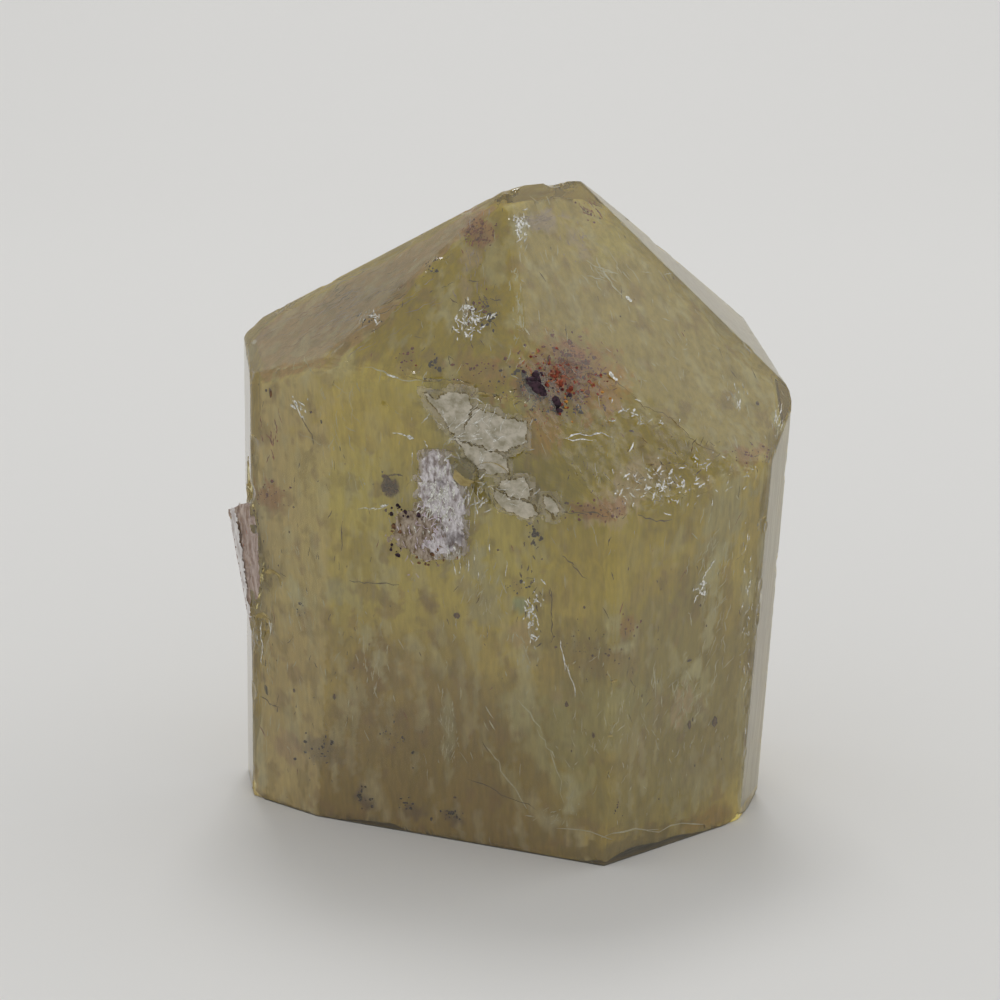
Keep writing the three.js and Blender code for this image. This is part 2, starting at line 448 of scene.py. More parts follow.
# Where its middle shows in the photo, how far it reaches from there, and how far it leans from upright.
veil_patches = [
    {"name": "left_yellow", "at": (372, 420), "reach": (58, 52), "tone": yellow, "share": 0.5},
    {"name": "left_clear", "at": (363, 553), "reach": (21, 28), "tone": olive, "share": 0.6},
    {"name": "left_rust", "at": (272, 498), "reach": (15, 15), "tone": rusty, "share": 0.6},
    {"name": "left_smear_top", "at": (292, 533), "reach": (11, 9), "tone": milky, "share": 0.6},
    {"name": "left_smear_high", "at": (297, 594), "reach": (9, 22), "lean": -22, "tone": milky, "share": 0.7},
    {"name": "left_smear_grey", "at": (333, 592), "reach": (9, 13), "tone": grey, "share": 0.7},
    {"name": "left_smear_mid", "at": (367, 634), "reach": (8, 18), "tone": milky, "share": 0.8},
    {"name": "left_smear_low", "at": (379, 664), "reach": (8, 16), "tone": milky, "share": 0.75},
    {"name": "left_smear_right", "at": (415, 643), "reach": (7, 15), "lean": -15, "tone": milky, "share": 0.65},
    {"name": "left_yellow_spot", "at": (410, 667), "reach": (10, 13), "tone": (0.84, 0.68, 0.34), "share": 0.6},
    {"name": "left_brown", "at": (370, 592), "reach": (20, 11), "tone": brown, "share": 0.5},
    {"name": "curl", "at": (425, 601), "reach": (6, 16), "lean": -20, "tone": brown, "share": 0.7},
    {"name": "round_brown", "at": (390, 486), "reach": (10, 10), "tone": dusky, "share": 0.95},
    {"name": "under_silver", "at": (478, 562), "reach": (7, 17), "tone": milky, "share": 0.8},
    {"name": "middle_grey", "at": (487, 604), "reach": (14, 26), "tone": grey, "share": 0.7},
    {"name": "rainbow", "at": (519, 604), "reach": (9, 10), "tone": (0.62, 0.78, 0.66), "share": 0.9},
    {"name": "rainbow_low", "at": (517, 634), "reach": (14, 14), "tone": (0.94, 0.78, 0.54), "share": 0.8},
    {"name": "rainbow_tail", "at": (524, 660), "reach": (5, 16), "tone": milky, "share": 0.8},
    {"name": "right_clear", "at": (618, 565), "reach": (64, 52), "tone": (0.84, 0.71, 0.12), "share": 0.7},
    {"name": "right_pale", "at": (724, 515), "reach": (26, 48), "lean": 10, "tone": grey, "share": 0.6},
    {"name": "right_slant_top", "at": (714, 566), "reach": (8, 26), "lean": 25, "tone": milky, "share": 0.9},
    {"name": "right_slant_mid", "at": (712, 622), "reach": (7, 28), "lean": 15, "tone": milky, "share": 0.8},
    {"name": "right_slant_low", "at": (694, 671), "reach": (8, 16), "lean": 40, "tone": milky, "share": 0.9},
    {"name": "right_slant_foot", "at": (681, 708), "reach": (12, 22), "lean": 12, "tone": pinkish, "share": 0.9},
    {"name": "right_brown", "at": (610, 660), "reach": (46, 20), "tone": brown, "share": 0.45},
    {"name": "right_brown_low", "at": (659, 708), "reach": (11, 21), "tone": brown, "share": 0.5},
    {"name": "right_greenish", "at": (612, 720), "reach": (38, 36), "tone": greenish, "share": 0.6},
    {"name": "right_rust", "at": (627, 628), "reach": (9, 10), "tone": rusty, "share": 0.5},
    {"name": "right_spot", "at": (627, 646), "reach": (11, 6), "tone": milky, "share": 0.8},
    {"name": "left_of_blade", "at": (512, 775), "reach": (24, 40), "lean": -20, "tone": (0.56, 0.44, 0.14),
     "share": 0.6},
    {"name": "right_of_blade", "at": (566, 752), "reach": (22, 50), "lean": -18, "tone": greenish, "share": 0.6},
    {"name": "blade", "at": (540, 752), "reach": (12, 62), "lean": -30, "tone": (0.82, 0.80, 0.56), "share": 0.55},
    {"name": "blade_low", "at": (508, 778), "reach": (8, 34), "lean": -27, "tone": (0.82, 0.80, 0.56), "share": 0.5},
    {"name": "foot_white", "at": (571, 792), "reach": (7, 26), "tone": milky, "share": 0.85},
    {"name": "foot_shelf", "at": (546, 817), "reach": (14, 8), "tone": milky, "share": 0.6},
    {"name": "right_foot_grey", "at": (692, 778), "reach": (34, 24), "tone": (0.76, 0.71, 0.52), "share": 0.5},
    {"name": "amber_heel", "at": (706, 818), "reach": (36, 12), "tone": amber, "share": 0.8},
    # Painted shade: the band on the downward bevel at the foot is darkened for the shadow it faces, over the stone's
    # brownish colour.
    {"name": "foot_band_shade", "at": (625, 846), "reach": (70, 14), "tone": (0.46, 0.36, 0.12), "share": 0.95},
    {"name": "grey_column", "at": (447, 735), "reach": (6, 56), "tone": grey, "share": 0.75},
    {"name": "low_grey", "at": (318, 749), "reach": (22, 16), "tone": (0.40, 0.32, 0.24), "share": 0.6},
    {"name": "low_pink", "at": (285, 745), "reach": (16, 16), "tone": (0.66, 0.46, 0.34), "share": 0.5},
    {"name": "foot_dusk_left", "at": (362, 800), "reach": (9, 15), "tone": dusky, "share": 0.8},
    {"name": "foot_dusk_mid", "at": (415, 810), "reach": (14, 9), "tone": dusky, "share": 0.6},
    {"name": "foot_dusk_right", "at": (453, 816), "reach": (11, 9), "tone": dusky, "share": 0.7},
    {"name": "left_border", "at": (257, 745), "reach": (6, 46), "tone": grey, "share": 0.6},
    {"name": "slope_brown", "at": (478, 373), "reach": (26, 18), "tone": (0.60, 0.38, 0.12), "share": 0.6},
    {"name": "slope_smudge", "at": (407, 360), "reach": (10, 11), "tone": brown, "share": 0.5},
    {"name": "slope_lilac", "at": (471, 256), "reach": (9, 12), "tone": pinkish, "share": 0.6},
    {"name": "slope_lilac_low", "at": (466, 296), "reach": (5, 14), "tone": pinkish, "share": 0.6},
    {"name": "top_red", "at": (479, 232), "reach": (13, 13), "tone": (0.66, 0.32, 0.18), "share": 0.7},
    {"name": "tip_lilac", "at": (542, 220), "reach": (18, 9), "lean": 0, "tone": lilac, "share": 0.8},
    {"name": "tip_pale", "at": (521, 229), "reach": (8, 11), "tone": milky, "share": 0.9},
    {"name": "lilac_trail", "at": (578, 242), "reach": (7, 20), "lean": -38, "tone": lilac, "share": 0.5},
    {"name": "slope_green", "at": (620, 232), "reach": (30, 18), "lean": -40, "tone": (0.82, 0.74, 0.26), "share": 0.6},
    {"name": "slope_streak", "at": (645, 326), "reach": (5, 17), "lean": -45, "tone": brown, "share": 0.6},
    {"name": "halo", "at": (560, 378), "reach": (52, 34), "tone": (0.66, 0.34, 0.08), "share": 0.75},
    {"name": "halo_red", "at": (568, 365), "reach": (26, 17), "lean": -50, "tone": (0.66, 0.25, 0.14), "share": 0.8},
    {"name": "halo_right", "at": (607, 392), "reach": (24, 20), "tone": orange, "share": 0.7},
    {"name": "halo_low", "at": (545, 426), "reach": (18, 12), "tone": orange, "share": 0.6},
    {"name": "break_amber", "at": (540, 445), "reach": (16, 8), "tone": orange, "share": 0.5},
    {"name": "break_deep", "at": (585, 468), "reach": (36, 18), "tone": (0.48, 0.39, 0.01), "share": 0.8},
    {"name": "break_gravel", "at": (628, 492), "reach": (18, 40), "lean": 62, "tone": pinkish, "share": 0.75},
    {"name": "break_rust", "at": (598, 512), "reach": (24, 7), "tone": rusty, "share": 0.7},
    {"name": "right_rim_rust", "at": (750, 456), "reach": (18, 9), "tone": rusty, "share": 0.6},
    {"name": "rim_white", "at": (739, 400), "reach": (7, 11), "tone": milky, "share": 0.7},
    {"name": "rim_white_low", "at": (777, 424), "reach": (6, 14), "tone": milky, "share": 0.7},
]


def painted(spots):
    """The veil's colour at each spot, with painted sheen on the front right slope and painted shade at the foot band.
    """
    places = spots / MM
    tone = np.full((len(places), 3), (0.74, 0.59, 0.17))
    tone = laid_over(tone, (0.90, 0.75, 0.24), rising(swirls(places, 2.6, 1.5, 3), -0.3, 0.35))
    ragged = swirls(places, 2.0, 1.2, 5)
    for zone in colour_zones:
        away = np.linalg.norm(places - zone["middle"], axis=1) / zone["reach"]
        tone = laid_over(tone, zone["colour"], (1 - rising(away + 0.3 * ragged, 0.6, 1.2)) * zone["share"])
    nearest = np.argmin(plane_reaches - spots @ plane_normals.T, axis=1)
    # The tints by flat, with the painted sheen of the front right slope.
    for flat in flat_tints_and_sheen:
        on_it = plane_normals[nearest] @ np.array(flat["looks"]) > 0.995
        tone = laid_over(tone, flat["colour"], on_it * flat["share"])
    tone = laid_over(tone, (0.96, 0.94, 0.80), 0.5 * rising(swirls(places, 1.2, 2.6, 7, 3), 0.26, 0.5))
    tone = laid_over(tone, (0.46, 0.30, 0.14), 0.5 * rising(swirls(places, 1.0, 1.4, 11, 3), 0.30, 0.52))
    tone = laid_over(tone, (0.46, 0.35, 0.09), 0.45 * rising(swirls(places, 0.7, 1.8, 13, 3), 0.22, 0.42))
    tone = laid_over(tone, (0.97, 0.96, 0.84), 0.35 * rising(swirls(places, 0.6, 4.5, 23, 2), 0.28, 0.42))
    fringe = swirls(places, 0.5, 1.6, 17, 3)
    for patch in veil_patches:
        middle, _ = seen_at(*patch["at"], (veil_below + 0.2) * MM)
        turn = math.radians(patch.get("lean", 0))
        away = (spots - np.array(middle)) / (0.049 * MM)
        across = (away[:, 0] * math.cos(turn) - away[:, 2] * math.sin(turn)) / patch["reach"][0]
        along = (away[:, 0] * math.sin(turn) + away[:, 2] * math.cos(turn)) / patch["reach"][1]
        far = np.hypot(across, along) + np.abs(away[:, 1]) / 400 + 0.85 * fringe + 0.3 * ragged
        tone = laid_over(tone, patch["tone"], (1 - rising(far, 0.7, 1.2)) * patch["share"])
    return tone


veil_finish = bpy.data.materials.new("milky_growth")
veil_finish.use_nodes = True
nodes = veil_finish.node_tree.nodes
links = veil_finish.node_tree.links
shader = nodes["Principled BSDF"]
shader.inputs["Roughness"].default_value = 0.4
shader.inputs["IOR"].default_value = 1.2
tones = nodes.new("ShaderNodeAttribute")
tones.attribute_name = "tone"
place = nodes.new("ShaderNodeTexCoord")
upright = nodes.new("ShaderNodeMapping")
upright.inputs["Scale"].default_value = (1, 1, 0.2)
links.new(place.outputs["Object"], upright.inputs["Vector"])
fibres = nodes.new("ShaderNodeTexNoise")
fibres.inputs["Scale"].default_value = 1 / (0.26 * MM)
fibres.inputs["Detail"].default_value = 2
fibres.inputs["Roughness"].default_value = 0.7
links.new(upright.outputs["Vector"], fibres.inputs["Vector"])
fibre_light = nodes.new("ShaderNodeMapRange")
fibre_light.inputs["From Min"].default_value = 0.3
fibre_light.inputs["From Max"].default_value = 0.7
fibre_light.inputs["To Min"].default_value = 0.84
fibre_light.inputs["To Max"].default_value = 1.12
links.new(fibres.outputs["Fac"], fibre_light.inputs["Value"])
grained = nodes.new("ShaderNodeVectorMath")
grained.operation = "SCALE"
links.new(tones.outputs["Color"], grained.inputs[0])
links.new(fibre_light.outputs["Result"], grained.inputs["Scale"])
links.new(grained.outputs["Vector"], shader.inputs["Base Color"])

bm = bmesh.new()
bm.from_mesh(cad_stone.data)
bmesh.ops.remove_doubles(bm, verts=bm.verts[:], dist=0.3 * MM)
bmesh.ops.dissolve_limit(bm, angle_limit=math.radians(5), verts=bm.verts[:], edges=bm.edges[:])
bmesh.ops.triangulate(bm, faces=bm.faces[:])


def veil_edge(edge):
    one, other = edge.verts
    if one.co.z + other.co.z < 0.1 * MM:
        return 5 * veil_step
    return veil_step * (1.3 if one.co.y + other.co.y < 4 * MM else 2)


split_long_edges(bm, veil_edge)
spots = []
for vertex in bm.verts:
    low = max(0.0, 1 - vertex.co.z / foot_height)
    share = veil_size + (foot_size - veil_size) * low
    away = vertex.co - stone_heart
    spot = stone_heart + Vector((away.x * share, away.y * share, away.z * (0.5 + 0.5 * veil_size)))
    if vertex.co.z < 0.3 * MM:
        spot.z = base_cover
    x, y, z = spot / MM
    wide = noise.noise_vector(Vector((x, y, z * 0.45)) * 0.22 + Vector((31.7, 17.3, 5.1)))
    fine = noise.noise_vector(Vector((x, y, z * 0.5)) * 0.9 - Vector((31.7, 17.3, 5.1)))
    spots.append(spot + (wide * 1.6 + fine * 0.5) * veil_crumple)
margins = np.interp(np.array(spots)[:, 2] / MM, [0.5, 5, 26, 32], [0.08, 1, 1, 0.4]) * veil_below * MM
spots = kept_inside(spots, margins)
tone_layer = bm.verts.layers.float_color.new("tone")
for vertex, spot, tone in zip(bm.verts, spots, painted(spots)):
    vertex.co = spot
    vertex[tone_layer] = (*tone, 1)
print("heart_outer", len(bm.faces))
inner_piece("heart_outer", bm, veil_finish, smooth=True)

# The sawn base.
# The saw left it dull and stained brown, so it closes the stone from below.
def make_finish(name, light, dark, roughness, metallic=0.0, spot_size=1.0, streak=1.0, sheer=None):
    """A mottled finish in two colours. A sheer one lets this much less through than clear air."""
    finish = bpy.data.materials.new(name)
    finish.use_nodes = True
    nodes = finish.node_tree.nodes
    links = finish.node_tree.links
    shader = nodes["Principled BSDF"]
    shader.inputs["Roughness"].default_value = roughness
    shader.inputs["Metallic"].default_value = metallic
    shader.inputs["IOR"].default_value = 1.2
    place = nodes.new("ShaderNodeTexCoord")
    stretch = nodes.new("ShaderNodeMapping")
    stretch.inputs["Scale"].default_value = (1, 1, 1 / streak)
    links.new(place.outputs["Object"], stretch.inputs["Vector"])
    mottle = nodes.new("ShaderNodeTexNoise")
    mottle.inputs["Scale"].default_value = 1 / (spot_size * MM)
    mottle.inputs["Detail"].default_value = 3
    mottle.inputs["Roughness"].default_value = 0.65
    links.new(stretch.outputs["Vector"], mottle.inputs["Vector"])
    colours = nodes.new("ShaderNodeValToRGB")
    colours.color_ramp.elements[0].position = 0.36
    colours.color_ramp.elements[0].color = (*dark, 1)
    colours.color_ramp.elements[1].position = 0.62
    colours.color_ramp.elements[1].color = (*light, 1)
    links.new(mottle.outputs["Fac"], colours.inputs["Fac"])
    links.new(colours.outputs["Color"], shader.inputs["Base Color"])
    if sheer:
        shader.inputs["Alpha"].default_value = sheer
    return finish


sawn_finish = make_finish("sawn_face", (0.80, 0.64, 0.34), (0.60, 0.44, 0.20), 0.6, spot_size=1.5)
bm = bmesh.new()
bm.from_mesh(cad_stone.data)
sides_and_slopes = [face for face in bm.faces if face.normal.z > -0.99]
bmesh.ops.delete(bm, geom=sides_and_slopes, context="FACES")
for vertex in bm.verts:
    vertex.co = Vector((vertex.co.x * 0.998, vertex.co.y * 0.998, 0.06 * MM))
inner_piece("sawn_face", bm, sawn_finish)

# A sheer brownish film lies on the knocked corners that look down at the table: painted shade for these downward faces,
# in the stone's brownish colour.
foot_shade_finish = make_finish("painted_foot_shade", (0.56, 0.45, 0.21), (0.38, 0.29, 0.12), 0.5, spot_size=0.6, sheer=0.88)
bm = bmesh.new()
bm.from_mesh(stone_mesh)
others = [face for face in bm.faces if not -0.95 < face.normal.z < -0.4]
bmesh.ops.delete(bm, geom=others, context="FACES")
for vertex in bm.verts:
    vertex.co += Vector((vertex.co.x, vertex.co.y, 0)).normalized() * 0.008 * MM
inner_piece("painted_foot_shade", bm, foot_shade_finish, below_skin=False)

# The haze on the duller flats.
# The steep strips on either side and the two side slopes are only ground, not polished: a web of fine
# upright scratches makes them paler than the rest. It lies as a thin veil right under the skin.
haze_flats = [
    {"looks": direction_of(68, -3.5), "share": 0.54},
    {"looks": direction_of(82, 46.5), "share": 0.38},
    {"looks": direction_of(-79, 1), "share": 0.5},
    {"looks": direction_of(-58, 51), "share": 0.2},
]
haze_depth = 0.07 * MM
for number, flat in enumerate(haze_flats):
    haze_finish = make_finish("haze_%d" % number, (1.0, 0.99, 1.0), (0.66, 0.61, 0.60), 0.5,
                              spot_size=0.3, streak=14, sheer=flat["share"])
    bm = bmesh.new()
    bm.from_mesh(stone_mesh)
    others = [face for face in bm.faces if face.normal.dot(flat["looks"]) < 0.985]
    bmesh.ops.delete(bm, geom=others, context="FACES")
    for vertex in bm.verts:
        vertex.co -= flat["looks"] * haze_depth
    inner_piece("haze_%d" % number, bm, haze_finish, smooth=True)

# The white scar and the silvery patch, left of the front edge.
# Cracks that reach the skin hold air, and their flat angular plates shine white. A brown seam runs round them.
def inside_outline(x, y, outline):
    """Counts the sides that a line to the right of the spot crosses."""
    crossings = 0
    for (x0, y0), (x1, y1) in zip(outline, outline[1:] + outline[:1]):
        if (y0 > y) != (y1 > y) and x < x0 + (y - y0) / (y1 - y0) * (x1 - x0):
            crossings += 1
    return crossings % 2 == 1


def rim_distance(x, y, outline):
    """How far the spot lies from the nearest side of the outline."""
    nearest = 1e9
    for (x0, y0), (x1, y1) in zip(outline, outline[1:] + outline[:1]):
        run = (x1 - x0) ** 2 + (y1 - y0) ** 2
        part = max(0.0, min(1.0, ((x - x0) * (x1 - x0) + (y - y0) * (y1 - y0)) / run))
        nearest = min(nearest, math.hypot(x - x0 - part * (x1 - x0), y - y0 - part * (y1 - y0)))
    return nearest


def crack_sheet(bm, outline, deep, seed, grain=1.5, ragged=4, grow=0.0, wobble=0.0):
    """Adds a torn sheet with this outline in the photo. It may grow a little past the outline."""
    shift = Vector((17.3 * seed, 5.9 * seed, 0))
    xs = [x for x, _ in outline]
    ys = [y for _, y in outline]
    chance = random.Random(seed)
    grid = {}
    for i in range(-2, int((max(xs) - min(xs)) / grain) + 4):
        for j in range(-2, int((max(ys) - min(ys)) / grain) + 4):
            x = min(xs) + (i + chance.uniform(-0.3, 0.3)) * grain
            y = min(ys) + (j + chance.uniform(-0.3, 0.3)) * grain
            wander = noise.noise_vector(Vector((x, y, 0)) * 0.11 + shift) * ragged
            wander += noise.noise_vector(Vector((x, y, 9)) * 0.35 + shift) * ragged * 0.4
            if not inside_outline(x + wander.x, y + wander.y, outline):
                if grow == 0 or rim_distance(x + wander.x, y + wander.y, outline) > grow:
                    continue
            depth = deep + wobble * noise.noise(Vector((x * 0.08, y * 0.04, 7)) + shift)
            spot, _ = seen_at(x, y, (deep if deep < 0 else max(depth, 0.05)) * MM)
            if spot is not None:
                grid[i, j] = bm.verts.new(spot)
    for (i, j), corner in grid.items():
        for ring in (((i + 1, j), (i + 1, j + 1)), ((i + 1, j + 1), (i, j + 1))):
            if all(key in grid for key in ring):
                others = [grid[key] for key in ring]
                if max((other.co - corner.co).length for other in others) < 5 * grain * 0.05 * MM:
                    bm.faces.new((corner, *others))


scar_plates = [
    {"name": "top", "outline": [(420, 389), (437, 396), (455, 391), (472, 392), (475, 407), (466, 430), (452, 432),
                                (436, 410)]},
    {"name": "middle", "outline": [(476, 407), (500, 416), (527, 420), (527, 442), (508, 452), (486, 446),
                                   (452, 433), (466, 428)]},
    {"name": "neck", "outline": [(453, 434), (486, 447), (507, 453), (509, 474), (490, 474), (472, 464)]},
    {"name": "low_right", "outline": [(508, 476), (526, 478), (532, 486), (531, 501), (512, 496), (498, 486)]},
    {"name": "low", "outline": [(496, 487), (512, 497), (532, 503), (540, 515), (528, 520), (508, 510),
                                (494, 500)]},
    {"name": "chip", "outline": [(541, 494), (552, 496), (561, 511), (556, 520), (545, 508)]},
]
scar_layers = [
    {"name": "scar_haze", "light": (0.64, 0.58, 0.46), "dark": (0.42, 0.37, 0.25), "sheer": 0.42, "grow": 7,
     "proud": 0.005, "ragged": 7},
    {"name": "scar_seams", "light": (0.26, 0.20, 0.09), "dark": (0.15, 0.11, 0.05), "sheer": 0.48, "grow": 0.9,
     "proud": 0.009, "ragged": 3},
    {"name": "scar_plates", "light": (0.76, 0.70, 0.58), "dark": (0.44, 0.40, 0.29), "sheer": 0.74, "grow": 0,
     "proud": 0.014, "ragged": 3},
]
for layer in scar_layers:
    layer_finish = make_finish(layer["name"], layer["light"], layer["dark"], 0.35, spot_size=0.55, streak=0.8,
                               sheer=layer["sheer"])
    bm = bmesh.new()
    for number, plate in enumerate(scar_plates):
        crack_sheet(bm, plate["outline"], -layer["proud"], seed=5 + number, ragged=layer["ragged"],
                    grow=layer["grow"])
    inner_piece(layer["name"], bm, layer_finish, below_skin=False)

silver_parts = [
    {"name": "top", "outline": [(420, 452), (437, 452), (452, 466), (456, 482), (436, 486), (420, 476)]},
    {"name": "middle", "outline": [(416, 482), (440, 478), (462, 490), (466, 506), (462, 545), (448, 552),
                                   (440, 530), (422, 505)]},
    {"name": "low", "outline": [(438, 528), (464, 538), (458, 552), (436, 556), (418, 546)]},
]
silver_finish = make_finish("silver_fibres", (0.84, 0.80, 0.82), (0.30, 0.25, 0.24), 0.3, spot_size=0.22, streak=2,
                            sheer=0.85)
pinkish_finish = make_finish("pinkish_fibres", (0.54, 0.45, 0.38), (0.16, 0.11, 0.07), 0.4, spot_size=0.22, streak=2,
                             sheer=0.75)
halo_finish = make_finish("silver_haze", (0.66, 0.61, 0.60), (0.24, 0.19, 0.14), 0.4, spot_size=0.25, streak=2,
                          sheer=0.5)
bm = bmesh.new()
for number, part in enumerate(silver_parts):
    crack_sheet(bm, part["outline"], -0.003, seed=25 + number, ragged=14, grow=8)
inner_piece("silver_haze", bm, halo_finish, below_skin=False)
bm = bmesh.new()
for number, part in enumerate(silver_parts):
    crack_sheet(bm, part["outline"], -0.012, seed=15 + number, ragged=8)
inner_piece("silver_patch", bm, silver_finish, below_skin=False)
bm = bmesh.new()
pinkish_outline = [(392, 515), (410, 508), (436, 520), (442, 548), (432, 562), (405, 556), (390, 540)]
crack_sheet(bm, pinkish_outline, -0.006, seed=19, ragged=12)
inner_piece("pinkish_patch", bm, pinkish_finish, below_skin=False)

# The splinter.
# It broke along the old growth fibres, so its skin is rough, striped and pinkish, with a white outer strip.
splinter_strip = [(229, 509), (236, 506), (241, 540), (246, 575), (252, 618), (247, 618), (239, 580), (233, 540)]
splinter_finish = make_finish("splinter_fibres", (0.66, 0.55, 0.50), (0.34, 0.24, 0.20), 0.5, spot_size=0.16,
                              streak=7, sheer=0.8)
strip_finish = make_finish("splinter_strip", (0.86, 0.84, 0.82), (0.55, 0.50, 0.48), 0.4, spot_size=0.2, streak=6)
bm = bmesh.new()
bm.from_mesh(stone_mesh)
outside = [(plane_reaches - plane_normals @ np.array(face.calc_center_median())).min() for face in bm.faces]
others = [face for face, depth in zip(bm.faces, outside)
          if depth > -0.06 * MM or face.calc_center_median().x > -13.2 * MM]
bmesh.ops.delete(bm, geom=others, context="FACES")
for vertex in bm.verts:
    vertex.co += vertex.normal * 0.006 * MM
inner_piece("splinter_skin", bm, splinter_finish, smooth=True, below_skin=False)
bm = bmesh.new()
crack_sheet(bm, splinter_strip, -0.02, seed=25, ragged=2)
inner_piece("splinter_strip", bm, strip_finish, below_skin=False)

# Fine cracks and threads.
# Hair-thin cracks look white or hold iron oxide, and painted glints lie on the skin where small broken facets sparkle.
# Most of them stand upright, the way the crystal grew.
def ribbon(bm, spine, side, width, chance):
    """Adds a thin ragged strip along a spine of spots. It is widest in the middle and runs out at both ends."""
    rows = []
    for i, spot in enumerate(spine):
        swell = chance.uniform(0.35, 1.3) * math.sin(math.pi * (0.1 + 0.8 * i / (len(spine) - 1)))
        half = side * (width * swell / 2)
        rows.append((bm.verts.new(spot - half), bm.verts.new(spot + half)))
    for (a, b), (c, d) in zip(rows, rows[1:]):
        bm.faces.new((a, b, d, c))


def stroke(bm, at, heading, length, width, deep, chance):
    """Adds one bent hair-thin crack around a place in the photo, leaning this far from upright."""
    turn = math.radians(heading)
    bend = chance.uniform(-0.25, 0.25)
    spine = []
    for step in range(6):
        part = step / 5 - 0.5
        sway = bend * (0.25 - part * part) + chance.uniform(-0.05, 0.05)
        x = at[0] + length * (math.sin(turn) * part + math.cos(turn) * sway)
        y = at[1] + length * (math.sin(turn) * sway - math.cos(turn) * part)
        spot, normal = seen_at(x, y, deep * MM)
        if spot is None:
            return
        spine.append(spot)
    if (spine[-1] - spine[0]).length < length * 0.1 * MM:
        ribbon(bm, spine, normal.cross(spine[-1] - spine[0]).normalized(), width * 0.049 * MM, chance)


hair_finishes = {
    "white": make_finish("white_hairs", (1.0, 1.0, 0.97), (0.86, 0.85, 0.74), 0.3, spot_size=0.3),
    # Painted glints: near-white marks laid on the skin that stand for light sparkling off small broken facets.
    "bright": make_finish("bright_hairs", (0.92, 0.92, 0.88), (0.34, 0.32, 0.24), 0.25, spot_size=0.12),
    "dark": make_finish("dark_hairs", (0.24, 0.16, 0.07), (0.10, 0.06, 0.035), 0.5, spot_size=0.3),
    "rust": make_finish("rust_hairs", (0.52, 0.19, 0.10), (0.24, 0.07, 0.05), 0.5, spot_size=0.3),
    "lilac": make_finish("lilac_hairs", (0.74, 0.66, 0.74), (0.46, 0.36, 0.42), 0.4, spot_size=0.3),
}
